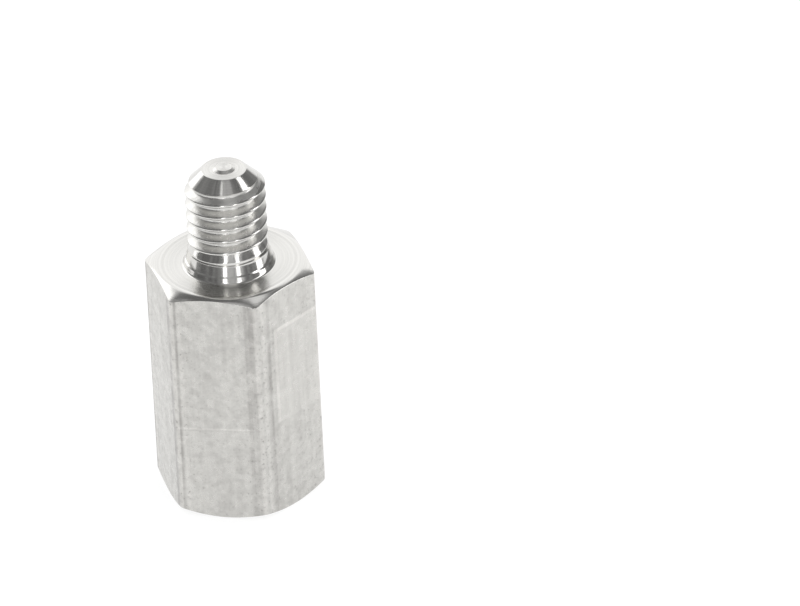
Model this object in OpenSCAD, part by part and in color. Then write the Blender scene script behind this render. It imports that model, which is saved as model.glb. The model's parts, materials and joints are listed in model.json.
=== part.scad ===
// Hexagon spacer pin, turned in one piece from drawn bar. It stands on its foot,
// the end with the tapped hole, and its stud points up along +Z. Sizes are in
// millimetres, and the origin is the centre of the foot.

/* [Hexagon body] */
// Width across the flats of the bar
across_flats = 11; // [9:0.1:22]
// Length of the body, from the foot to the shoulder
body_length = 18.65; // [15:0.05:60]
// Radius of the bar's six drawn edges
edge_radius = 0.5; // [0.2:0.05:1]

/* [End chamfers] */
// How far inside the flats the shoulder's chamfer starts
shoulder_inset = 0.3; // [0.05:0.05:0.5]
// Slope of the shoulder's chamfer, in degrees from level
shoulder_slope = 24; // [10:1:45]
// How far inside the flats the foot's chamfer starts
foot_inset = 0.2; // [0.05:0.05:0.5]
// Slope of the foot's chamfer, in degrees from level
foot_slope = 30; // [10:1:45]

/* [Stud] */
// Outside diameter of the stud's thread
stud_d = 5.85; // [5:0.05:7]
// Length of the stud, from the shoulder to its flat point
stud_length = 7.75; // [5.5:0.05:25]
// Depth of the 45 degree chamfer round the point
point_chamfer = 1.3; // [0.4:0.05:1.5]
// Diameter of the pip that parting off leaves on the point, at its foot
pip_d = 1.7; // [0.8:0.05:2]
// Height of the pip
pip_height = 0.15; // [0.1:0.01:0.2]
// Slope of the pip's worn side, in degrees from level
pip_slope = 30; // [25:1:60]

/* [Neck] */
// Height of the smooth neck at the stud's root
neck_height = 1.15; // [0.7:0.05:2.5]
// Slope of the neck's sides, in degrees from upright
neck_taper = 16; // [4:1:30]
// Radius of the fillet from the neck to the shoulder
neck_fillet = 0.2; // [0.2:0.05:0.6]

/* [Tapped hole] */
// Diameter that the hole is drilled to before tapping
tap_drill_d = 5; // [3.5:0.05:5.6]
// Depth of the drilled wall, from the foot
hole_depth = 11; // [6:0.1:13]
// Diameter of the countersink at the hole's mouth
mouth_d = 6.4; // [5.8:0.05:7.6]
// Angle of the countersink, in degrees across
mouth_angle = 90; // [60:1:120]
// Angle of the drill's point, in degrees across
drill_angle = 118; // [90:1:140]

/* [Hidden] */

STEEL = "#c9c7c1";
$fn = 96;

flat_r = across_flats / 2;
stud_r = stud_d / 2;
bore_r = tap_drill_d / 2;
mouth_r = mouth_d / 2;
pip_r = pip_d / 2;
// Room that a cut or a joined piece takes past the face it meets
overlap = 1;
// How much fuller than a touching arc each rounding is, so that it crosses the
// faces it runs into
arc_lap = 0.002;

// The bar's section, with two flats level with X. Each corner is an arc that
// runs into the flats on both sides of it.
module bar_section() {
    arc_centre = (flat_r - edge_radius) / cos(30);
    polygon([for (corner = [0:60:300], side = [-30, 30])
        arc_centre * [cos(corner), sin(corner)]
        + edge_radius * [cos(corner + side), sin(corner + side)]]);
    for (corner = [0:60:300])
        rotate(corner) translate([arc_centre, 0]) circle(r = edge_radius + arc_lap);
}

// Half section of the envelope that both ends are faced and chamfered to. It
// reaches past the bar's corners, so the flats are cut only by its cones.
module turned_section() {
    outer_r = flat_r / cos(30) + overlap;
    foot_r = flat_r - foot_inset;
    shoulder_r = flat_r - shoulder_inset;
    polygon([
        [0, 0],
        [foot_r, 0],
        [outer_r, (outer_r - foot_r) * tan(foot_slope)],
        [outer_r, body_length - (outer_r - shoulder_r) * tan(shoulder_slope)],
        [shoulder_r, body_length],
        [0, body_length]
    ]);
}

module hexagon_body() {
    intersection() {
        linear_extrude(body_length) bar_section();
        rotate_extrude() turned_section();
    }
}

// Half section of the stud, from inside the body to its flat point. The fillet's
// circle touches both the shoulder and the side of the neck.
module stud_section() {
    fillet_r = stud_r + (neck_height - neck_fillet) * tan(neck_taper)
        + neck_fillet / cos(neck_taper);
    side_r = fillet_r - neck_fillet * cos(neck_taper);
    side_z = neck_fillet * (1 - sin(neck_taper));
    difference() {
        polygon([
            [0, -overlap],
            [fillet_r, -overlap],
            [fillet_r, 0],
            [side_r, side_z],
            [stud_r, neck_height],
            [stud_r, stud_length - point_chamfer],
            [stud_r - point_chamfer, stud_length],
            [0, stud_length]
        ]);
        translate([fillet_r, neck_fillet]) circle(r = neck_fillet + arc_lap);
    }
}

// Half section of the parting pip, standing on the stud's point
module pip_section() {
    top_r = pip_r - pip_height / tan(pip_slope);
    polygon([
        [0, -overlap],
        [pip_r, -overlap],
        [pip_r, 0],
        [top_r, pip_height],
        [0, pip_height]
    ]);
}

module stud() {
    rotate_extrude() stud_section();
    translate([0, 0, stud_length]) rotate_extrude() pip_section();
}

// Half section of the hole: countersunk mouth, drilled wall and drill point
module hole_section() {
    mouth_cot = 1 / tan(mouth_angle / 2);
    mouth_depth = (mouth_r - bore_r) * mouth_cot;
    drill_tip = bore_r / tan(drill_angle / 2);
    polygon([
        [0, -overlap],
        [mouth_r + overlap / mouth_cot, -overlap],
        [bore_r, mouth_depth],
        [bore_r, hole_depth],
        [0, hole_depth + drill_tip]
    ]);
}

module spacer_pin() {
    color(STEEL) difference() {
        union() {
            hexagon_body();
            translate([0, 0, body_length]) stud();
        }
        rotate_extrude() hole_section();
    }
}

spacer_pin();
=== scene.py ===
"""Looks of a hexagon spacer pin: drawn flats, turned ends, a cut thread on the stud and one in the foot.

The pin's skin is one closed mesh, made ring by ring round the pin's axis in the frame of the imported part.
"""

import json
import math

import bpy
from bpy.props import FloatProperty, FloatVectorProperty, PointerProperty, StringProperty
from mathutils import Matrix, Vector


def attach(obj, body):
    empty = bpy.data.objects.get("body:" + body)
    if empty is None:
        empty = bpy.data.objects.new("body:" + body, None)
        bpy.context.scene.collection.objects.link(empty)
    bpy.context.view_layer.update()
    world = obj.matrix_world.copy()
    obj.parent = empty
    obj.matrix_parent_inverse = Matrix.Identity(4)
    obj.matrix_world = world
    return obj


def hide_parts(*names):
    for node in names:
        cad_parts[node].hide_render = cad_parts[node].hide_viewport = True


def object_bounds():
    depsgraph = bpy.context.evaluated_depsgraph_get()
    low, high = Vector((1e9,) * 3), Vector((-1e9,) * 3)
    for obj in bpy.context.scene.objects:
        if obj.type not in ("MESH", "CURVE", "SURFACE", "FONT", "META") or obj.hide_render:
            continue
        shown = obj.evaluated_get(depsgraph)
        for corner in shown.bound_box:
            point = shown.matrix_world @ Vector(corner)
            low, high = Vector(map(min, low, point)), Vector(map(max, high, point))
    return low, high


bl_info = {
    "name": "Hexagon spacer pin",
    "version": (1, 0, 0),
    "blender": (4, 5, 0),
    "location": "View3D > Sidebar > Spacer pin",
    "description": "Builds a turned steel spacer pin and the white stage that it stands on",
    "category": "Object",
}

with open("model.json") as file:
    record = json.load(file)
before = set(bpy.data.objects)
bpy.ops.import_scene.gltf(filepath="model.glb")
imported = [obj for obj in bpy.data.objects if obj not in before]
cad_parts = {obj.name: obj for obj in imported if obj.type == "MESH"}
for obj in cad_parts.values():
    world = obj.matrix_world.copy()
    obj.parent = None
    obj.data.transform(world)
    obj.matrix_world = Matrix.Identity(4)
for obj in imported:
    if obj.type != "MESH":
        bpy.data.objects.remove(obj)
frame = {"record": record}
CAD_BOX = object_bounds()
MOUNTS = {mount["name"]: mount for mount in frame["record"]["mounts"]}

MM = 0.001
PHOTO_WIDTH = 800
PHOTO_HEIGHT = 606
SENSOR_WIDTH = 36.0

# Points in each rounding of an outline
ARC_POINTS = 5
# Columns of the skin on each flat, and the degrees between those round each drawn edge
FLAT_COLUMNS = 20
EDGE_STEP = 6
# Places down the flank of a thread that have a row of their own
FLANK_SHARES = (0.4, 0.7)
# Least distance from a row of the thread to the ring that ends it, as a share of the pitch
ROW_MARGIN = 0.02
# Height of the ring where the countersink's skin meets the foot's
MOUTH_RING = 0.12 * MM
# How far the ring where the chamfer's skin meets the point's lies under the point
POINT_RING = 0.3 * MM
# How far over the neck the stud's groove starts to take its full shape
RUNOUT_START = 0.5 * MM
# Places in the pitch where the slanting end of that groove starts, is deepest and ends
SLANT_PLACES = (0.28, 0.8, 0.95)
# How far the skin turns at an edge that is shaded as sharp
SHARP_TURN = math.radians(32)
# Roughness of steel that a tool's edge has burnished
BURNISHED = 0.14

# Which finish a face of the pin takes, as its place in the list of materials
DRAWN = 0
TURNED = 1
FACED = 2
CUT = 3


def length(name, description, millimetres):
    """A property that holds one length of the pin in metres, given here in millimetres."""
    return FloatProperty(
        name=name,
        description=description,
        default=millimetres * MM,
        precision=5,
        unit="LENGTH",
        subtype="DISTANCE",
    )


def slope(name, description, degrees):
    """A property that holds one angle of the pin in radians, given here in degrees."""
    return FloatProperty(
        name=name, description=description, default=math.radians(degrees), unit="ROTATION", subtype="ANGLE"
    )


def tint(name, description, colour):
    """A property that holds one colour as an sRGB hex value."""
    return StringProperty(name=name, description=description, default=colour)


class PinSizes(bpy.types.PropertyGroup):
    """Sizes of the pin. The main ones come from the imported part."""

    across_flats: length("Across flats", "Width of the bar", (CAD_BOX[1].y - CAD_BOX[0].y) / MM)
    body_length: length("Body length", "From the foot to the shoulder", MOUNTS["shoulder"]["pos_m"][2] / MM)
    full_length: length("Full length", "From the foot to the top of the pip", CAD_BOX[1].z / MM)
    edge_radius: length("Edge radius", "Rounding of the bar's six drawn edges", 0.5)
    edge_break: length("Edge break", "Rounding that deburring leaves on the turned edges", 0.06)
    shoulder_round: length("Shoulder rounding", "Rounding between the shoulder and its chamfer", 1.1)
    shoulder_inset: length("Shoulder inset", "Start of the shoulder's chamfer inside the flats", 0.3)
    shoulder_slope: slope("Shoulder slope", "Chamfer of the shoulder, from level", 24)
    foot_inset: length("Foot inset", "Start of the foot's chamfer inside the flats", 0.2)
    foot_slope: slope("Foot slope", "Chamfer of the foot, from level", 30)
    stud_radius: length("Stud radius", "Outside radius of the stud's thread", MOUNTS["stud"]["dims"]["r_mm"])
    point_chamfer: length("Point chamfer", "Depth of the chamfer round the stud's point", 1.3)
    pip_radius: length("Pip radius", "Foot of the pip that parting off leaves", 0.85)
    pip_height: length("Pip height", "Height of that pip", 0.15)
    pip_slope: slope("Pip slope", "Side of that pip, from level", 30)
    pip_wear: length("Pip wear", "Rounding of the worn pip", 0.1)
    neck_height: length("Neck height", "Smooth cone at the stud's root", 1.2)
    neck_flare: length("Neck flare", "How far the neck stands out from the stud over its ledge", 0.175)
    neck_spread: length("Neck spread", "How far the neck stands out from the stud at its root", 0.41)
    neck_fillet: length("Neck fillet", "Fillet from the neck to the shoulder", 0.2)
    ledge_height: length("Ledge height", "Top of the ledge round the neck, over the shoulder", 0.5)
    ledge_drop: length("Ledge drop", "Height of that ledge", 0.1)
    ledge_width: length("Ledge width", "How far that ledge stands out", 0.11)
    pitch: length("Pitch", "Distance from one thread to the next", 1.0)
    thread_depth: length("Thread depth", "Depth of the stud's groove", 0.535)
    crest_width: length("Crest width", "Flat left on top of the stud's thread", 0.14)
    crest_rounding: length("Crest rounding", "Rounding of that flat's edges", 0.08)
    crest_height: length("First crest", "A crest's height over the shoulder, at the front", 1.28)
    runout: length("Run-out", "Height over which the groove deepens above the neck", 0.9)
    runout_depth: length("Run-out depth", "Depth of the slanting end of the groove", 0.3)
    bore_radius: length("Bore radius", "Drilled radius of the hole", MOUNTS["tapped_hole"]["dims"]["r_mm"])
    bore_depth: length("Bore depth", "Depth of the drilled wall", 11)
    drill_angle: slope("Drill angle", "Point of the drill, across", 118)
    mouth_radius: length("Mouth radius", "Countersink of the hole", 3.2)
    tapped_depth: length("Tapped depth", "Depth to which the hole is threaded", 9)


class PinColours(bpy.types.PropertyGroup):
    """Colours of the steel and of the stage."""

    drawn: tint("Drawn flats", "Grey of the flats as drawn", "#d4d3cf")
    # This grey is the rubbed mark, and also the painted highlight on the edges, on the mark's rim and on the
    # faint line
    drawn_rub_and_highlight: tint("Rubbed and highlit flats", "Grey of the flats where they are rubbed, and of the painted highlights", "#e6e4e0")
    # This grey also paints the shade under the faint line
    drawn_dark_and_shade: tint("Draw lines and shade", "Grey of the lines, of the bands beside the edges, and of the painted shade under the faint line", "#a9a7a4")
    pit: tint("Pits", "Grey of the small pits in the flats", "#8c8a87")
    turned: tint("Turned ends", "Grey of the turned faces", "#d8d7d4")
    turned_dark: tint("Tool marks", "Grey of the turning tool's marks", "#c0bfbc")
    floor: tint("Floor", "White of the floor", "#f4f4f4")
    floor_shade: tint("Floor shade", "Grey that takes the shadow on the floor", "#868686")
    world: tint("World", "White all round the stage", "#ffffff")
    # The cloth glows with these greys: the darker ones are painted shade in its folds, the lighter ones
    # painted light between them
    cloth: tint("Cloth", "Grey of the cloth round the stage, in its folds", "#686868")
    cloth_light: tint("Lit cloth", "Grey of that cloth between its folds", "#949494")
    front_cloth: tint("Front cloth", "Grey of the cloth in front, in its folds", "#a0a0a0")
    front_cloth_light: tint("Lit front cloth", "Grey of that cloth between its folds", "#c8c8c8")
    # The cards glow with these greys instead of being lit
    canopy: tint("Canopy", "Grey of the large card over the pin", "#707070")
    pale_card: tint("Pale card", "Grey of the small card straight above", "#d8d8d8")
    lit_card: tint("Lit card", "Grey of the small card above the back", "#fafafa")


class PinStage(bpy.types.PropertyGroup):
    """Where the camera stands, and where the pin lies in its picture."""

    azimuth: slope("Azimuth", "Camera's turn round the pin", 13.8)
    elevation: slope("Elevation", "Camera's height over the horizon", 31.5)
    roll: slope("Roll", "Camera's turn about its line of sight", 2.75)
    lens: FloatProperty(name="Lens", description="Focal length of the long lens", default=500, unit="CAMERA")
    scale: FloatProperty(name="Scale", description="Picture pixels to a millimetre", default=13.73)
    axis_pixel: FloatVectorProperty(
        name="Axis pixel",
        description="Picture pixel where the axis is at the height below",
        size=2,
        default=(237.2, 402),
    )
    axis_height: length("Axis height", "Height on the axis that the pixel shows", 6.58)


def linear(colour):
    """A colour for a shader socket, from its sRGB hex value."""
    parts = [int(colour[i : i + 2], 16) / 255 for i in (1, 3, 5)]
    return [c / 12.92 if c <= 0.04045 else ((c + 0.055) / 1.055) ** 2.4 for c in parts] + [1.0]


def smooth(low, high, value):
    """How far a value is on its way from low to high, from 0 to 1, easing in and out."""
    share = min(max((value - low) / (high - low), 0.0), 1.0)
    return share * share * (3 - 2 * share)


def rounded(corners):
    """The outline through these (radius, height, rounding) corners, each rounding turned into an arc."""
    outline = [corners[0][:2]]
    for before, corner, after in zip(corners, corners[1:], corners[2:]):
        place = Vector(corner[:2])
        if corner[2] == 0:
            outline.append(corner[:2])
            continue
        back = (Vector(before[:2]) - place).normalized()
        ahead = (Vector(after[:2]) - place).normalized()
        half = back.angle(ahead) / 2
        centre = place + (back + ahead).normalized() * corner[2] / math.sin(half)
        start = place + back * corner[2] / math.tan(half) - centre
        end = place + ahead * corner[2] / math.tan(half) - centre
        sweep = math.atan2(start.cross(end), start.dot(end))
        for i in range(ARC_POINTS):
            turn = Matrix.Rotation(sweep * i / (ARC_POINTS - 1), 2)
            outline.append(tuple(centre + turn @ start))
    outline.append(corners[-1][:2])
    return outline


class RingMesh:
    """Gathers the pin's skin ring by ring, on columns at set angles round the axis."""

    def __init__(self, angles):
        self.angles = angles
        self.points = []
        self.faces = []
        self.finishes = []

    def point(self, column, radius, height):
        """Adds a point on a column and returns its number."""
        angle = self.angles[column]
        self.points.append((radius * math.cos(angle), radius * math.sin(angle), height))
        return len(self.points) - 1

    def ring(self, places):
        """Adds a ring of points, one (radius, height) for each column."""
        return [self.point(column, *place) for column, place in enumerate(places)]

    def level(self, radius, height):
        """Adds a round, level ring."""
        return self.ring([(radius, height)] * len(self.angles))

    def face(self, corners, finish):
        """Adds a face with its finish."""
        self.faces.append(corners)
        self.finishes.append(finish)

    def band(self, first, second, finish):
        """Joins two rings. The skin's outside is on the right, going from the first to the second."""
        for a, b, c, d in zip(first, first[1:] + first[:1], second[1:] + second[:1], second):
            self.face([a, b, c, d], finish)

    def cap(self, ring, height, finish, top):
        """Closes a ring with a fan about a point on the axis."""
        tip = self.point(0, 0.0, height)
        for a, b in zip(ring, ring[1:] + ring[:1]):
            self.face([a, b, tip] if top else [b, a, tip], finish)

    def thread(self, low, high, pitch, start, profile, wall, cone, finishes, inside=False):
        """Fills the wall between two level rings with rows that climb with the thread.

        The profile's rows are places within one pitch. The wall's radius comes from a row's place and
        height, and a cone, whose radius comes from the height, cuts the wall off. Rows next to the cone's
        edge are moved onto it. The finishes are the wall's and the cone's. A row too close to a ring is
        left out.
        """
        floor = self.points[low[0]][2] + ROW_MARGIN * pitch
        ceiling = self.points[high[0]][2] - ROW_MARGIN * pitch
        pick = max if inside else min
        past_cone = {}
        columns = []
        for column, angle in enumerate(self.angles):
            base = start + pitch * angle / math.tau
            rows = []
            turn = math.floor((floor - base) / pitch) - 1
            while base + turn * pitch < ceiling:
                for i, place in enumerate(profile):
                    height = base + (turn + place) * pitch
                    if floor < height < ceiling:
                        past = wall(place, height) - cone(height)
                        rows.append([turn * len(profile) + i, place, height, -past if inside else past])
                turn += 1
            for lower, upper in zip(rows, rows[1:]):
                if lower[3] * upper[3] < 0:
                    edge = lower[2] + (upper[2] - lower[2]) * lower[3] / (lower[3] - upper[3])
                    nearer = lower if edge - lower[2] < upper[2] - edge else upper
                    nearer[1:] = [nearer[1] + (edge - nearer[2]) / pitch, edge, 0.0]
            numbers = {}
            for row, place, height, past in rows:
                number = self.point(column, pick(wall(place, height), cone(height)), height)
                numbers[row] = number
                past_cone[number] = past
            columns.append(numbers)
        # The last column meets the first one a whole turn of the thread further up
        columns.append({row - len(profile): number for row, number in columns[0].items()})
        for column in range(len(self.angles)):
            left = columns[column]
            right = columns[column + 1]
            after = (column + 1) % len(self.angles)
            shared = sorted(left.keys() & right.keys())
            polygons = [[left[row], right[row], right[row + 1], left[row + 1]] for row in shared[:-1]]
            foot = [right[row] for row in sorted(right) if row <= shared[0]]
            foot += [left[row] for row in sorted(left, reverse=True) if row <= shared[0]]
            polygons.append([low[column], low[after]] + foot)
            head = [left[row] for row in sorted(left, reverse=True) if row >= shared[-1]]
            head += [right[row] for row in sorted(right) if row >= shared[-1]]
            polygons.append([high[after], high[column]] + head)
            for polygon in polygons:
                on_cone = sum(past_cone.get(number, 0.0) for number in polygon) > 0
                self.face(polygon[::-1] if inside else polygon, finishes[on_cone])

    def build(self, name, materials):
        """Makes the Blender object, smooth except where the skin turns sharply."""
        mesh = bpy.data.meshes.new(name)
        mesh.from_pydata(self.points, [], self.faces)
        for material in materials:
            mesh.materials.append(material)
        mesh.polygons.foreach_set("material_index", self.finishes)
        mesh.polygons.foreach_set("use_smooth", [True] * len(self.faces))
        mesh.set_sharp_from_angle(angle=SHARP_TURN)
        mesh.update()
        if mesh.validate():
            raise RuntimeError("the pin's skin has faces that Blender can't keep")
        piece = bpy.data.objects.new(name, mesh)
        bpy.context.scene.collection.objects.link(piece)
        return piece


def bar_columns(sizes):
    """Angles round the axis, with the bar's radius at each. They are closer together at the drawn edges."""
    flat = sizes.across_flats / 2
    centre = (flat - sizes.edge_radius) / math.cos(math.radians(30))
    columns = []
    for corner in range(0, 360, 60):
        for turn in range(-30, 31, EDGE_STEP):
            aim = math.radians(corner + turn)
            x = centre * math.cos(math.radians(corner)) + sizes.edge_radius * math.cos(aim)
            y = centre * math.sin(math.radians(corner)) + sizes.edge_radius * math.sin(aim)
            columns.append((math.atan2(y, x) % math.tau, math.hypot(x, y)))
        first = columns[-1][0]
        middle = math.radians(corner + 30)
        for i in range(1, FLAT_COLUMNS):
            angle = first + 2 * (middle - first) * i / FLAT_COLUMNS
            columns.append((angle, flat / math.cos(angle - middle)))
    return sorted(columns)


def groove_profile(crest, depth, pitch, crest_rounding, root_rounding):
    """One pitch of a 60 degree thread, from crest to crest, as pairs of a place in the pitch and a depth."""
    run = depth * math.tan(math.radians(30))
    half = crest / 2
    down = [(0, 0, 0), (half, 0, crest_rounding)]
    down += [(half + run * share, depth * share, 0) for share in FLANK_SHARES]
    down += [(half + run, depth, root_rounding), (pitch / 2, depth, 0)]
    side = [(z / pitch, d) for z, d in rounded(down)]
    return side + [(1 - place, d) for place, d in side[-2:0:-1]]


def groove_depth(rows, place):
    """Depth of a groove at a place in its pitch, between the rows of its profile."""
    place %= 1.0
    for (low, low_depth), (high, high_depth) in zip(rows, rows[1:] + [(1.0, rows[0][1])]):
        if place <= high:
            return low_depth + (high_depth - low_depth) * (place - low) / (high - low)
    return rows[0][1]


def body_outline(sizes, bar_radius):
    """The skin from the hole's mouth over the foot, a wall at this radius and the shoulder, to the ledge."""
    flat = sizes.across_flats / 2
    foot = flat - sizes.foot_inset
    shoulder = flat - sizes.shoulder_inset
    top = sizes.body_length
    foot_cut = (bar_radius - foot) * math.tan(sizes.foot_slope)
    shoulder_cut = (bar_radius - shoulder) * math.tan(sizes.shoulder_slope)
    neck = sizes.stud_radius + sizes.neck_flare
    ledge = top + sizes.ledge_height
    return rounded([
        (sizes.mouth_radius - MOUTH_RING, MOUTH_RING, 0),
        (sizes.mouth_radius, 0, sizes.edge_break / 2),
        (foot, 0, sizes.edge_break),
        (bar_radius, foot_cut, sizes.edge_break / 2),
        (bar_radius, top - shoulder_cut, sizes.edge_break / 2),
        (shoulder, top, sizes.shoulder_round),
        (sizes.stud_radius + sizes.neck_spread, top, sizes.neck_fillet),
        (neck + sizes.ledge_width, ledge - sizes.ledge_drop, sizes.edge_break / 2),
        (neck, ledge, 0),
    ])


def add_hole(skin, sizes):
    """The skin of the tapped hole, from the drill's point down. Returns the ring at the mouth."""
    bore = sizes.bore_radius
    tip = sizes.bore_depth + bore / math.tan(sizes.drill_angle / 2)
    bottom = skin.level(bore, sizes.bore_depth)
    skin.cap(bottom, tip, TURNED, top=False)
    high = skin.level(bore, sizes.tapped_depth + sizes.pitch)
    skin.band(bottom, high, TURNED)
    low = skin.level(sizes.mouth_radius - MOUTH_RING, MOUTH_RING)
    crest = 0.25 * sizes.pitch
    depth = 0.5 * sizes.pitch
    crest_rounding = 0.03 * MM
    root_rounding = 0.04 * MM
    first_crest = 0.3 * MM
    rows = groove_profile(crest, depth, sizes.pitch, crest_rounding, root_rounding)

    def wall(place, height):
        root = height - (place - 0.5) * sizes.pitch
        fade = 1 - smooth(sizes.tapped_depth - sizes.pitch, sizes.tapped_depth, root)
        return bore + groove_depth(rows, place) * fade

    def countersink(height):
        return sizes.mouth_radius - height

    profile = [place for place, _ in rows]
    finishes = (CUT, TURNED)
    skin.thread(low, high, sizes.pitch, first_crest, profile, wall, countersink, finishes, inside=True)
    return low


def body_finish(step):
    """The foot's and the shoulder's faces are faced, the long wall is drawn bar, and the rest is turned."""
    return {1 + ARC_POINTS: FACED, 1 + 3 * ARC_POINTS: DRAWN, 1 + 5 * ARC_POINTS: FACED}.get(step, TURNED)


def add_body(skin, sizes, bar, mouth):
    """The foot, the hexagon wall, the shoulder and the neck. Returns the ring at the neck's ledge."""
    outlines = [body_outline(sizes, bar_radius) for _, bar_radius in bar]
    last = mouth
    for step in range(1, len(outlines[0])):
        ring = skin.ring([outline[step] for outline in outlines])
        skin.band(last, ring, body_finish(step))
        last = ring
    return last


def tip_finish(step):
    """The stud's chamfer is turned, its end and the pip's top are faced, and the pip's side is torn."""
    if step <= ARC_POINTS:
        return TURNED
    return FACED if step in (1 + ARC_POINTS, 1 + 3 * ARC_POINTS) else CUT


def add_stud(skin, sizes, neck):
    """The thread from the neck to the point, and the point with its pip."""
    shoulder = sizes.body_length
    point = sizes.full_length - sizes.pip_height
    end_radius = sizes.stud_radius - sizes.point_chamfer
    high = skin.level(end_radius + POINT_RING, point - POINT_RING)
    root_rounding = 0.1 * MM
    crest = sizes.crest_width
    rows = groove_profile(crest, sizes.thread_depth, sizes.pitch, sizes.crest_rounding, root_rounding)
    deepens = sizes.neck_height + RUNOUT_START
    slant_start, slant_deepest, slant_end = SLANT_PLACES

    def wall(place, height):
        over = height - shoulder
        root = over - (place - 0.5) * sizes.pitch
        # The groove starts as a long slant under the thread above it, and then takes its full shape
        begun = smooth(sizes.neck_height, deepens, root)
        full = smooth(deepens, deepens + sizes.runout, root)
        slant = min(
            (place - slant_start) / (slant_deepest - slant_start),
            (slant_end - place) / (slant_end - slant_deepest),
        )
        depth = groove_depth(rows, place) * full
        depth += sizes.runout_depth * max(slant, 0.0) * begun * (1 - full)
        up = (over - sizes.ledge_height) / (sizes.neck_height - sizes.ledge_height)
        return sizes.stud_radius + sizes.neck_flare * (1 - min(max(up, 0.0), 1.0)) - depth

    def chamfer(height):
        return end_radius + point - height

    # Where round the axis the first crest's height is given
    front = math.radians(-75)
    start = shoulder + sizes.crest_height - sizes.pitch * front / math.tau
    profile = [place for place, _ in rows]
    skin.thread(neck, high, sizes.pitch, start, profile, wall, chamfer, (CUT, TURNED))
    pip_top = sizes.pip_radius - sizes.pip_height / math.tan(sizes.pip_slope)
    tip = rounded([
        (end_radius + POINT_RING, point - POINT_RING, 0),
        (end_radius, point, sizes.edge_break),
        (sizes.pip_radius, point, sizes.pip_wear),
        (pip_top, point + sizes.pip_height, sizes.pip_wear),
        (pip_top / 2, point + sizes.pip_height, 0),
    ])
    last = high
    for step in range(1, len(tip)):
        ring = skin.level(*tip[step])
        skin.band(last, ring, tip_finish(step))
        last = ring
    skin.cap(last, point + sizes.pip_height, FACED, top=True)


def add_node(tree, kind, inputs=None, **settings):
    """Adds a node with its settings. An input is a value, or another node's output to link."""
    made = tree.nodes.new(kind)
    for name, value in settings.items():
        setattr(made, name, value)
    for socket, value in (inputs or {}).items():
        if isinstance(value, bpy.types.NodeSocket):
            tree.links.new(value, made.inputs[socket])
        else:
            made.inputs[socket].default_value = value
    return made


def new_material(name):
    """A material with an empty node tree, and that tree."""
    material = bpy.data.materials.new(name)
    material.use_nodes = True
    material.node_tree.nodes.clear()
    return material, material.node_tree


def flat_mask(tree, angle, facing):
    """1 on the flat that faces this way round the axis, and 0 on the other five."""
    off = add_node(tree, "ShaderNodeMath", {0: angle, 1: facing}, operation="SUBTRACT").outputs["Value"]
    turn = add_node(tree, "ShaderNodeMath", {0: off}, operation="COSINE").outputs["Value"]
    return add_node(
        tree, "ShaderNodeMath", {0: turn, 1: math.cos(math.radians(30))}, operation="GREATER_THAN"
    ).outputs["Value"]


def band_mask(tree, value, low, high, soft):
    """1 between two lengths and 0 outside them, easing over a soft width on both sides."""
    ends = []
    for zero, one in ((low - soft / 2, low + soft / 2), (high + soft / 2, high - soft / 2)):
        ends.append(
            add_node(
                tree,
                "ShaderNodeMapRange",
                {"Value": value, "From Min": zero, "From Max": one},
                interpolation_type="SMOOTHSTEP",
            ).outputs["Result"]
        )
    return add_node(tree, "ShaderNodeMath", {0: ends[0], 1: ends[1]}, operation="MULTIPLY").outputs["Value"]


def bar_place(tree, place, sizes):
    """A point's height, its angle round the axis, and its distance along its flat from the flat's middle."""
    parts = add_node(tree, "ShaderNodeSeparateXYZ", {"Vector": place})
    angle = add_node(
        tree, "ShaderNodeMath", {0: parts.outputs["Y"], 1: parts.outputs["X"]}, operation="ARCTAN2"
    ).outputs["Value"]
    # A sixth of a turn is one flat, so the distance is alike on all six
    sixth = add_node(
        tree, "ShaderNodeMath", {0: angle, 1: math.radians(60), 2: 0.0}, operation="WRAP"
    ).outputs["Value"]
    offset = add_node(
        tree, "ShaderNodeMath", {0: sixth, 1: math.radians(30)}, operation="SUBTRACT"
    ).outputs["Value"]
    slant = add_node(tree, "ShaderNodeMath", {0: offset}, operation="TANGENT").outputs["Value"]
    across = add_node(
        tree, "ShaderNodeMath", {0: slant, 1: sizes.across_flats / 2}, operation="MULTIPLY"
    ).outputs["Value"]
    return parts.outputs["Z"], angle, across


def die_lines(tree, place):
    """Fine lines that the die leaves along the bar."""
    line_width = 0.525 * MM
    line_length = 40 * MM
    stretch = (1 / line_width, 1 / line_width, 1 / line_length)
    along = add_node(tree, "ShaderNodeMapping", {"Vector": place, "Scale": stretch}).outputs["Vector"]
    return add_node(
        tree, "ShaderNodeTexNoise", {"Vector": along, "Scale": 1.0, "Detail": 3.0, "Roughness": 0.65}
    ).outputs["Fac"]


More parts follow.
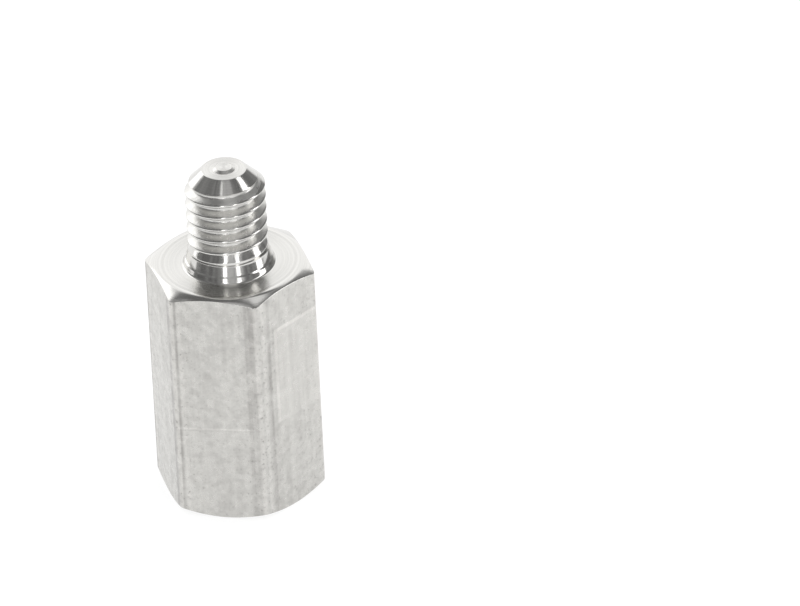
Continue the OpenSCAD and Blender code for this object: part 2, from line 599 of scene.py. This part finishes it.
def dark_lines(tree, place, lines, across, half, side):
    """How dark the flats are: a little everywhere along the die's lines, more in bands beside the edges, and
    all of it broken up.
    """
    free = add_node(tree, "ShaderNodeMath", {0: 1.0, 1: side}, operation="SUBTRACT").outputs["Value"]
    dark = 0.28
    # The flat that a jaw has marked has its dark line beside the mark
    for flats, low, high, soft, share in (
        (free, half - 0.85 * MM, half - 0.25 * MM, 0.45 * MM, 0.8),
        (free, 0.22 * MM - half, 0.4 * MM - half, 0.12 * MM, 0.7),
        (side, 1.0 * MM - half, 1.35 * MM - half, 0.2 * MM, 0.5),
    ):
        line = band_mask(tree, across, low, high, soft)
        line = add_node(tree, "ShaderNodeMath", {0: line, 1: flats}, operation="MULTIPLY").outputs["Value"]
        dark = add_node(
            tree, "ShaderNodeMath", {0: line, 1: share, 2: dark}, operation="MULTIPLY_ADD"
        ).outputs["Value"]
    worn = add_node(
        tree, "ShaderNodeMapRange", {"Value": lines, "From Min": 0.3, "From Max": 0.6, "To Min": 0.2}
    ).outputs["Result"]
    break_length = 1.7 * MM
    breaks = add_node(
        tree, "ShaderNodeTexNoise", {"Vector": place, "Scale": 1 / break_length, "Detail": 3.0}
    ).outputs["Fac"]
    broken = add_node(
        tree,
        "ShaderNodeMapRange",
        {"Value": breaks, "From Min": 0.35, "From Max": 0.65, "To Min": 0.5, "To Max": 1.3},
    ).outputs["Result"]
    for share in (worn, broken):
        dark = add_node(tree, "ShaderNodeMath", {0: dark, 1: share}, operation="MULTIPLY").outputs["Value"]
    return dark


def light_lines(tree, across, wide, half):
    """How light the painted highlight on the rounded edges is, and a line beside one end of each flat."""
    # Painted highlight over the rounded edges
    on_edge = band_mask(tree, wide, half - 0.2 * MM, half + 1.0 * MM, 0.12 * MM)
    light = add_node(tree, "ShaderNodeMath", {0: on_edge, 1: 0.5}, operation="MULTIPLY").outputs["Value"]
    line = band_mask(tree, across, 0.5 * MM - half, 0.8 * MM - half, 0.15 * MM)
    return add_node(
        tree, "ShaderNodeMath", {0: line, 1: 0.35, 2: light}, operation="MULTIPLY_ADD"
    ).outputs["Value"]


def pits(tree, place, cloud, wide):
    """Small pits in the darker blotches, more of them beside the edges than in the middle of a flat."""
    pit_size = 0.22 * MM
    grain = add_node(
        tree, "ShaderNodeTexNoise", {"Vector": place, "Scale": 1 / pit_size, "Detail": 2.0}
    ).outputs["Fac"]
    pit = add_node(
        tree, "ShaderNodeMapRange", {"Value": grain, "From Min": 0.58, "From Max": 0.68, "To Max": 0.6}
    ).outputs["Result"]
    patchy = add_node(
        tree, "ShaderNodeMapRange", {"Value": cloud, "From Min": 0.4, "From Max": 0.58}
    ).outputs["Result"]
    beside = add_node(
        tree, "ShaderNodeMapRange", {"Value": wide, "From Min": 0.8 * MM, "From Max": 2.4 * MM, "To Min": 0.4}
    ).outputs["Result"]
    for share in (patchy, beside):
        pit = add_node(tree, "ShaderNodeMath", {0: pit, 1: share}, operation="MULTIPLY").outputs["Value"]
    return pit


def jaw_mark(tree, across, height, side):
    """The oblong that a jaw has rubbed on one flat, and a painted highlight along two of its sides, as a
    bright rim.
    """
    left = -1.4 * MM
    right = 6.0 * MM
    bottom = 7.6 * MM
    top = 15.5 * MM
    highlight_rim_width = 0.28 * MM
    soft = 0.1 * MM
    marks = []
    for margin in (0.0, highlight_rim_width):
        mark = side
        for value, low, high in ((across, left + margin, right), (height, bottom, top - margin)):
            inside = band_mask(tree, value, low, high, soft)
            mark = add_node(
                tree, "ShaderNodeMath", {0: mark, 1: inside}, operation="MULTIPLY"
            ).outputs["Value"]
        marks.append(mark)
    # The rim is a painted highlight along the mark's top and its left side
    rim = add_node(tree, "ShaderNodeMath", {0: marks[0], 1: marks[1]}, operation="SUBTRACT").outputs["Value"]
    return marks[0], rim


def askew_line_highlight_and_shade(tree, across, height, front, half):
    """A faint line across one flat, a little askew: a painted highlight, and a painted shade under it."""
    rise = 0.06
    soft = 0.1 * MM
    askew = add_node(
        tree, "ShaderNodeMath", {0: across, 1: -rise, 2: height}, operation="MULTIPLY_ADD"
    ).outputs["Value"]
    middle = band_mask(tree, across, -4.0 * MM, half - 0.6 * MM, 0.3 * MM)
    middle = add_node(tree, "ShaderNodeMath", {0: middle, 1: front}, operation="MULTIPLY").outputs["Value"]
    lines = []
    # The higher band is the painted highlight, the lower one the painted shade under it
    for low, high in ((7.6 * MM, 7.7 * MM), (7.45 * MM, 7.52 * MM)):
        line = band_mask(tree, askew, low, high, soft)
        lines.append(
            add_node(tree, "ShaderNodeMath", {0: line, 1: middle}, operation="MULTIPLY").outputs["Value"]
        )
    return lines


def drawn_steel(colours, sizes):
    """Bright drawn steel bar.

    The die leaves faint lines along the bar, and there are darker bands beside its edges. Between them the
    steel is a little dull, with blotches and pits, and the rounded edges have a painted highlight. One flat
    is brighter where a jaw has rubbed it, with a painted highlight along two sides of the mark, and a faint
    line that crosses the flat beside it is a painted highlight over a painted shade.
    """
    material, tree = new_material("bright_drawn_steel")
    place = add_node(tree, "ShaderNodeTexCoord").outputs["Object"]
    height, angle, across = bar_place(tree, place, sizes)
    wide = add_node(tree, "ShaderNodeMath", {0: across}, operation="ABSOLUTE").outputs["Value"]
    half = sizes.across_flats / 2 * math.tan(math.radians(30))
    # The two flats that have marks of their own
    front = flat_mask(tree, angle, math.radians(-90))
    side = flat_mask(tree, angle, math.radians(-30))
    mark, rim = jaw_mark(tree, across, height, side)
    painted_line_highlight, painted_line_shade = askew_line_highlight_and_shade(tree, across, height, front, half)
    # Painted highlight on the rounded edges, to which the rubbed mark and the painted highlights of its rim
    # and of the faint line are added
    rub_and_highlight = light_lines(tree, across, wide, half)
    # The rubbed mark, and the painted highlights of its rim and of the faint line
    for rubbed, share in ((mark, 0.15), (rim, 0.75), (painted_line_highlight, 0.7)):
        rub_and_highlight = add_node(
            tree, "ShaderNodeMath", {0: rubbed, 1: share, 2: rub_and_highlight}, operation="MULTIPLY_ADD", use_clamp=True
        ).outputs["Value"]
    blotch_size = 0.59 * MM
    cloud = add_node(
        tree,
        "ShaderNodeTexNoise",
        {"Vector": place, "Scale": 1 / blotch_size, "Detail": 4.0, "Roughness": 0.7},
    ).outputs["Fac"]
    blotch = add_node(
        tree, "ShaderNodeMapRange", {"Value": cloud, "From Min": 0.4, "From Max": 0.68, "To Max": 0.33}
    ).outputs["Result"]
    # The jaw has rubbed half of the blotches and pits away
    bare = add_node(
        tree, "ShaderNodeMapRange", {"Value": mark, "To Min": 1.0, "To Max": 0.5}
    ).outputs["Result"]
    lines = die_lines(tree, place)
    dark = dark_lines(tree, place, lines, across, half, side)
    dark = add_node(
        tree, "ShaderNodeMath", {0: blotch, 1: bare, 2: dark}, operation="MULTIPLY_ADD"
    ).outputs["Value"]
    # Painted shade under the faint line
    dark = add_node(
        tree, "ShaderNodeMath", {0: painted_line_shade, 1: 0.2, 2: dark}, operation="MULTIPLY_ADD", use_clamp=True
    ).outputs["Value"]
    pit = pits(tree, place, cloud, wide)
    pit = add_node(tree, "ShaderNodeMath", {0: pit, 1: bare}, operation="MULTIPLY").outputs["Value"]
    tone = linear(colours.drawn)
    for share, colour in ((rub_and_highlight, colours.drawn_rub_and_highlight), (dark, colours.drawn_dark_and_shade), (pit, colours.pit)):
        tone = add_node(
            tree, "ShaderNodeMix", {"Factor": share, 6: tone, 7: linear(colour)}, data_type="RGBA"
        ).outputs[2]
    rough = add_node(
        tree,
        "ShaderNodeMapRange",
        {"Value": cloud, "From Min": 0.3, "From Max": 0.7, "To Min": 0.24, "To Max": 0.36},
    ).outputs["Result"]
    bump = add_node(
        tree, "ShaderNodeBump", {"Height": lines, "Strength": 0.12, "Distance": 0.02 * MM}
    ).outputs["Normal"]
    shader = add_node(
        tree,
        "ShaderNodeBsdfPrincipled",
        {"Base Color": tone, "Metallic": 1.0, "Roughness": rough, "Normal": bump},
    )
    add_node(tree, "ShaderNodeOutputMaterial", {"Surface": shader.outputs["BSDF"]})
    return material


def axis_place(tree, place):
    """A point's distance from the axis, and its height."""
    parts = add_node(tree, "ShaderNodeSeparateXYZ", {"Vector": place})
    flat = add_node(tree, "ShaderNodeCombineXYZ", {"X": parts.outputs["X"], "Y": parts.outputs["Y"]})
    reach = add_node(tree, "ShaderNodeVectorMath", {0: flat.outputs["Vector"]}, operation="LENGTH")
    return reach.outputs["Value"], parts.outputs["Z"]


def ring_marks(tree, spacing):
    """Uneven rings round the axis, as a turning tool leaves them at this spacing."""
    place = add_node(tree, "ShaderNodeTexCoord").outputs["Object"]
    reach, height = axis_place(tree, place)
    ringed = add_node(tree, "ShaderNodeCombineXYZ", {"X": reach, "Z": height}).outputs["Vector"]
    return add_node(
        tree, "ShaderNodeTexNoise", {"Vector": ringed, "Scale": 1 / spacing, "Detail": 2.0}
    ).outputs["Fac"]


def marked_grey(tree, colours, marks, low, high, most):
    """Grey of turned steel, which goes at most this far to its dark grey where the marks are strong."""
    share = add_node(
        tree, "ShaderNodeMapRange", {"Value": marks, "From Min": low, "From Max": high, "To Max": most}
    ).outputs["Result"]
    return add_node(
        tree,
        "ShaderNodeMix",
        {"Factor": share, 6: linear(colours.turned), 7: linear(colours.turned_dark)},
        data_type="RGBA",
    ).outputs[2]


def turned_steel(colours):
    """Turned steel. A keen tool leaves faint rings round the axis, and a gloss that is nearly a mirror."""
    material, tree = new_material("turned_steel")
    rings = ring_marks(tree, 0.12 * MM)
    tone = marked_grey(tree, colours, rings, low=0.4, high=0.7, most=0.4)
    bump = add_node(
        tree, "ShaderNodeBump", {"Height": rings, "Strength": 0.08, "Distance": 0.01 * MM}
    ).outputs["Normal"]
    shader = add_node(
        tree,
        "ShaderNodeBsdfPrincipled",
        {"Base Color": tone, "Metallic": 1.0, "Roughness": BURNISHED, "Normal": bump},
    )
    add_node(tree, "ShaderNodeOutputMaterial", {"Surface": shader.outputs["BSDF"]})
    return material


def faced_steel(colours):
    """Faced steel. The tool's rings spread what the face mirrors along its radius."""
    material, tree = new_material("faced_steel")
    rings = ring_marks(tree, 0.15 * MM)
    tone = marked_grey(tree, colours, rings, low=0.35, high=0.7, most=0.4)
    round_axis = add_node(tree, "ShaderNodeTangent", direction_type="RADIAL", axis="Z").outputs["Tangent"]
    shader = add_node(
        tree,
        "ShaderNodeBsdfPrincipled",
        {
            "Base Color": tone,
            "Metallic": 1.0,
            "Roughness": 0.22,
            "Anisotropic": 0.95,
            "Anisotropic Rotation": 0.25,
            "Tangent": round_axis,
        },
    )
    add_node(tree, "ShaderNodeOutputMaterial", {"Surface": shader.outputs["BSDF"]})
    return material


def cut_steel(colours, sizes):
    """Die-cut steel. The die tears the flanks a little dull, and burnishes the crests and the run-out."""
    material, tree = new_material("die_cut_steel")
    place = add_node(tree, "ShaderNodeTexCoord").outputs["Object"]
    reach, height = axis_place(tree, place)
    chatter_length = 0.25 * MM
    chatter = add_node(
        tree, "ShaderNodeTexNoise", {"Vector": place, "Scale": 1 / chatter_length, "Detail": 2.0}
    ).outputs["Fac"]
    tone = marked_grey(tree, colours, chatter, low=0.4, high=0.75, most=0.15)
    rough = add_node(
        tree,
        "ShaderNodeMapRange",
        {"Value": chatter, "From Min": 0.3, "From Max": 0.7, "To Min": 0.26, "To Max": 0.36},
    ).outputs["Result"]
    runout = sizes.body_length + sizes.neck_height + RUNOUT_START
    for value, dull, glossy in (
        (reach, sizes.stud_radius - 0.09 * MM, sizes.stud_radius - 0.03 * MM),
        (height, runout + 0.6 * MM, runout + 0.1 * MM),
    ):
        gloss = add_node(
            tree, "ShaderNodeMapRange", {"Value": value, "From Min": dull, "From Max": glossy}
        ).outputs["Result"]
        rough = add_node(
            tree, "ShaderNodeMix", {"Factor": gloss, "A": rough, "B": BURNISHED}
        ).outputs["Result"]
    shader = add_node(
        tree, "ShaderNodeBsdfPrincipled", {"Base Color": tone, "Metallic": 1.0, "Roughness": rough}
    )
    add_node(tree, "ShaderNodeOutputMaterial", {"Surface": shader.outputs["BSDF"]})
    return material


def shown_as_background(tree):
    """1 for what the camera sees, and what metal and glass mirror, and 0 for light that falls on things."""
    path = add_node(tree, "ShaderNodeLightPath")
    seen = path.outputs["Is Camera Ray"]
    for kind in ("Is Glossy Ray", "Is Transmission Ray"):
        seen = add_node(
            tree, "ShaderNodeMath", {0: seen, 1: path.outputs[kind]}, operation="MAXIMUM"
        ).outputs["Value"]
    return seen


def white_floor(colours):
    """Matt white paper. What the camera sees of it is mostly a glow, and the rest takes the shadow."""
    material, tree = new_material("matt_white_paper")
    seen = shown_as_background(tree)
    paper = add_node(tree, "ShaderNodeBsdfDiffuse", {"Color": linear(colours.floor)})
    shaded = add_node(tree, "ShaderNodeBsdfDiffuse", {"Color": linear(colours.floor_shade)})
    glow_share = 0.8
    glow = add_node(tree, "ShaderNodeEmission", {"Strength": glow_share})
    white = add_node(tree, "ShaderNodeAddShader", {0: shaded.outputs["BSDF"], 1: glow.outputs["Emission"]})
    mix = add_node(
        tree, "ShaderNodeMixShader", {"Fac": seen, 1: paper.outputs["BSDF"], 2: white.outputs["Shader"]}
    )
    add_node(tree, "ShaderNodeOutputMaterial", {"Surface": mix.outputs["Shader"]})
    return material


def grey_cloth(dark, light):
    """Grey cloth in soft folds that glows, with painted shade in the folds and painted light between them,
    which gives bright metal something dark and uneven to mirror.
    """
    material, tree = new_material("glowing_grey_cloth")
    place = add_node(tree, "ShaderNodeTexCoord").outputs["Object"]
    fold_width = 15.4 * MM
    fold_length = 125 * MM
    stretch = (1 / fold_width, 1 / fold_width, 1 / fold_length)
    hung = add_node(tree, "ShaderNodeMapping", {"Vector": place, "Scale": stretch}).outputs["Vector"]
    folds = add_node(tree, "ShaderNodeTexNoise", {"Vector": hung, "Scale": 1.0, "Detail": 2.0}).outputs["Fac"]
    fold_light_share = add_node(
        tree, "ShaderNodeMapRange", {"Value": folds, "From Min": 0.35, "From Max": 0.65}
    ).outputs["Result"]
    tone = add_node(
        tree,
        "ShaderNodeMix",
        {"Factor": fold_light_share, 6: linear(dark), 7: linear(light)},
        data_type="RGBA",
    ).outputs[2]
    # The cloth glows with its painted tones instead of being lit
    glow = add_node(tree, "ShaderNodeEmission", {"Color": tone, "Strength": 1.0})
    add_node(tree, "ShaderNodeOutputMaterial", {"Surface": glow.outputs["Emission"]})
    return material


def soft_card(colour, inner, outer):
    """Card that glows with its grey instead of being lit, and fades out from an inner to an outer radius."""
    material, tree = new_material("glowing_card")
    place = add_node(tree, "ShaderNodeTexCoord").outputs["Object"]
    reach = add_node(tree, "ShaderNodeVectorMath", {0: place}, operation="LENGTH").outputs["Value"]
    fade = add_node(
        tree,
        "ShaderNodeMapRange",
        {"Value": reach, "From Min": inner, "From Max": outer},
        interpolation_type="SMOOTHSTEP",
    ).outputs["Result"]
    glow = add_node(tree, "ShaderNodeEmission", {"Color": linear(colour), "Strength": 1.0})
    clear = add_node(tree, "ShaderNodeBsdfTransparent")
    mix = add_node(
        tree, "ShaderNodeMixShader", {"Fac": fade, 1: glow.outputs["Emission"], 2: clear.outputs["BSDF"]}
    )
    add_node(tree, "ShaderNodeOutputMaterial", {"Surface": mix.outputs["Shader"]})
    return material


def flat_mesh(name, points, faces, material):
    """A stage object from its points and faces."""
    mesh = bpy.data.meshes.new(name)
    mesh.from_pydata(points, [], faces)
    mesh.materials.append(material)
    made = bpy.data.objects.new(name, mesh)
    bpy.context.scene.collection.objects.link(made)
    return made


def only_mirrored(card):
    """Keeps a card out of everything but reflections."""
    card.visible_camera = False
    card.visible_diffuse = False
    card.visible_shadow = False
    card.visible_transmission = False
    card.visible_volume_scatter = False


def toward(azimuth, stage):
    """Level direction at this many degrees to the right of the camera, as seen from the pin."""
    angle = stage.azimuth + math.radians(azimuth)
    return Vector((math.sin(angle), -math.cos(angle), 0))


def place_camera(stage):
    """A long lens at the photograph's angle, aimed so that the axis passes through its pixel."""
    away = Vector((
        math.sin(stage.azimuth) * math.cos(stage.elevation),
        -math.cos(stage.azimuth) * math.cos(stage.elevation),
        math.sin(stage.elevation),
    ))
    right = Vector((math.cos(stage.azimuth), math.sin(stage.azimuth), 0))
    up = away.cross(right)
    turn = Matrix.Rotation(-stage.roll, 3, away)
    right = turn @ right
    up = turn @ up
    pixel = MM / stage.scale
    aim = Vector((0, 0, stage.axis_height))
    aim += right * (PHOTO_WIDTH / 2 - stage.axis_pixel[0]) * pixel
    aim += up * (stage.axis_pixel[1] - PHOTO_HEIGHT / 2) * pixel
    distance = PHOTO_WIDTH * pixel * stage.lens / SENSOR_WIDTH
    data = bpy.data.cameras.new("camera")
    data.lens = stage.lens
    data.sensor_width = SENSOR_WIDTH
    data.clip_start = 0.01
    camera = bpy.data.objects.new("camera", data)
    facing = Matrix((right, up, away)).transposed().to_4x4()
    camera.matrix_world = Matrix.Translation(aim + away * distance) @ facing
    bpy.context.scene.collection.objects.link(camera)
    bpy.context.scene.camera = camera


def place_lamp(name, place, aim, width, height, radiance):
    """A soft lamp of this width and height that faces a point. Its radiance is what a mirror shows of it."""
    data = bpy.data.lights.new(name, "AREA")
    data.shape = "RECTANGLE"
    data.size = width
    data.size_y = height
    data.energy = radiance * math.pi * width * height
    lamp = bpy.data.objects.new(name, data)
    lamp.location = place
    lamp.rotation_euler = (Vector(aim) - Vector(place)).to_track_quat("-Z", "Y").to_euler()
    bpy.context.scene.collection.objects.link(lamp)


def place_floor(colours):
    """A wide white floor, far enough under the foot that the two faces don't fight."""
    half = 3.0
    drop = -0.02 * MM
    corners = [(-half, -half, drop), (half, -half, drop), (half, half, drop), (-half, half, drop)]
    flat_mesh("floor", corners, [(0, 1, 2, 3)], white_floor(colours))


def place_cloth(colours, stage):
    """Grey cloth hung round the pin, all but the back, paler in front and at both ends."""
    reach = 0.085
    top = 0.2
    lifted = 0.03
    steps = 24
    shaded = (colours.cloth, colours.cloth_light)
    pale = (colours.front_cloth, colours.front_cloth_light)
    # Turns are in degrees from the camera, and the hem's height is in metres
    for name, first, last, hem, greys in (
        ("curtain_left_end", -121, -114, lifted, pale),
        ("curtain_left_top", -114, -94, lifted, shaded),
        ("curtain_left", -94, -14, 0.0, shaded),
        ("curtain_front", -14, 36, 0.0, pale),
        ("curtain_right", 36, 141, 0.0, shaded),
        ("curtain_right_end", 141, 145, 0.0, pale),
    ):
        points = []
        for i in range(steps + 1):
            side = toward(first + (last - first) * i / steps, stage) * reach
            points += [side + Vector((0, 0, hem)), side + Vector((0, 0, top))]
        faces = [(i, i + 2, i + 3, i + 1) for i in range(0, len(points) - 2, 2)]
        only_mirrored(flat_mesh(name, points, faces, grey_cloth(*greys)))


def place_cards(colours, stage):
    """A large grey canopy over the pin, and two paler cards under it."""
    turns = [math.radians(turn) for turn in range(0, 360, 10)]
    # A card fades out from its inner to its outer radius, in metres
    for name, azimuth, offset, height, colour, inner, outer in (
        ("canopy", 0, 0.0, 0.2, colours.canopy, 0.12, 0.16),
        ("pale_card_above", 0, 0.02, 0.19, colours.pale_card, 0.02, 0.045),
        ("pale_card_back", 136, 0.06, 0.19, colours.lit_card, 0.01, 0.034),
    ):
        rim = [(outer * math.cos(turn), outer * math.sin(turn), 0.0) for turn in turns]
        card = flat_mesh(name, rim, [tuple(range(len(rim)))], soft_card(colour, inner, outer))
        card.location = toward(azimuth, stage) * offset + Vector((0, 0, height))
        only_mirrored(card)


def place_lamps(stage):
    """Four upright strips in front of the cloth, and soft light from the left and the back."""
    strip_reach = 0.078
    for name, azimuth, width, low, high, radiance in (
        ("strip_left", -11, 0.011, 0.0, 0.1, 2.5),
        ("strip_left_top", -17, 0.012, 0.1, 0.18, 1.0),
        ("strip_middle", 23, 0.011, 0.0, 0.1, 2.5),
        ("strip_right", 85, 0.025, 0.0, 0.13, 2.5),
    ):
        side = toward(azimuth, stage) * strip_reach
        middle = (low + high) / 2
        place_lamp(name, (side.x, side.y, middle), (0, 0, middle), width, high - low, radiance)
    soft_reach = 0.3
    soft_middle = 0.16
    soft_height = 0.3
    aim = (0, 0, 0.02)
    for name, azimuth, width, radiance in (
        ("soft_left", -120, 0.35, 0.7),
        ("soft_back", 180, 0.4, 0.28),
    ):
        side = toward(azimuth, stage) * soft_reach
        place_lamp(name, (side.x, side.y, soft_middle), aim, width, soft_height, radiance)


def white_world(colours):
    """A plain white world."""
    world = bpy.data.worlds.new("white_world")
    world.use_nodes = True
    tree = world.node_tree
    tree.nodes.clear()
    background = add_node(tree, "ShaderNodeBackground", {"Color": linear(colours.world), "Strength": 1.0})
    add_node(tree, "ShaderNodeOutputWorld", {"Surface": background.outputs["Background"]})
    bpy.context.scene.world = world


class OBJECT_OT_spacer_pin(bpy.types.Operator):
    """Make the pin with its threads and its steel finishes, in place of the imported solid"""

    bl_idname = "object.spacer_pin"
    bl_label = "Spacer pin"

    def execute(self, context):
        sizes = context.scene.pin_sizes
        colours = context.scene.pin_colours
        bar = bar_columns(sizes)
        skin = RingMesh([angle for angle, _ in bar])
        mouth = add_hole(skin, sizes)
        neck = add_body(skin, sizes, bar, mouth)
        add_stud(skin, sizes, neck)
        finishes = [
            drawn_steel(colours, sizes),
            turned_steel(colours),
            faced_steel(colours),
            cut_steel(colours, sizes),
        ]
        pin = skin.build("turned_pin", finishes)
        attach(pin, "root")
        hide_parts("spacer_pin")
        return {"FINISHED"}


class OBJECT_OT_spacer_pin_stage(bpy.types.Operator):
    """Make the white floor, the cloth, the cards, the lamps and the camera"""

    bl_idname = "object.spacer_pin_stage"
    bl_label = "Stage"

    def execute(self, context):
        stage = context.scene.pin_stage
        colours = context.scene.pin_colours
        place_floor(colours)
        white_world(colours)
        place_cloth(colours, stage)
        place_cards(colours, stage)
        place_lamps(stage)
        place_camera(stage)
        context.scene.view_settings.view_transform = "Standard"
        return {"FINISHED"}


class VIEW3D_PT_spacer_pin(bpy.types.Panel):
    """Sidebar panel with the pin's sizes and colours and a button for each step"""

    bl_label = "Spacer pin"
    bl_space_type = "VIEW_3D"
    bl_region_type = "UI"
    bl_category = "Spacer pin"

    def draw(self, context):
        layout = self.layout
        for operator in (OBJECT_OT_spacer_pin, OBJECT_OT_spacer_pin_stage):
            layout.operator(operator.bl_idname)
        for group in (context.scene.pin_sizes, context.scene.pin_colours, context.scene.pin_stage):
            box = layout.box()
            for name in group.__annotations__:
                box.prop(group, name)


CLASSES = (
    PinSizes,
    PinColours,
    PinStage,
    OBJECT_OT_spacer_pin,
    OBJECT_OT_spacer_pin_stage,
    VIEW3D_PT_spacer_pin,
)


def register():
    for cls in CLASSES:
        bpy.utils.register_class(cls)
    bpy.types.Scene.pin_sizes = PointerProperty(type=PinSizes)
    bpy.types.Scene.pin_colours = PointerProperty(type=PinColours)
    bpy.types.Scene.pin_stage = PointerProperty(type=PinStage)


def unregister():
    del bpy.types.Scene.pin_stage
    del bpy.types.Scene.pin_colours
    del bpy.types.Scene.pin_sizes
    for cls in reversed(CLASSES):
        bpy.utils.unregister_class(cls)


def main():
    register()
    bpy.ops.object.spacer_pin()
    bpy.ops.object.spacer_pin_stage()


if __name__ == "__main__":
    main()
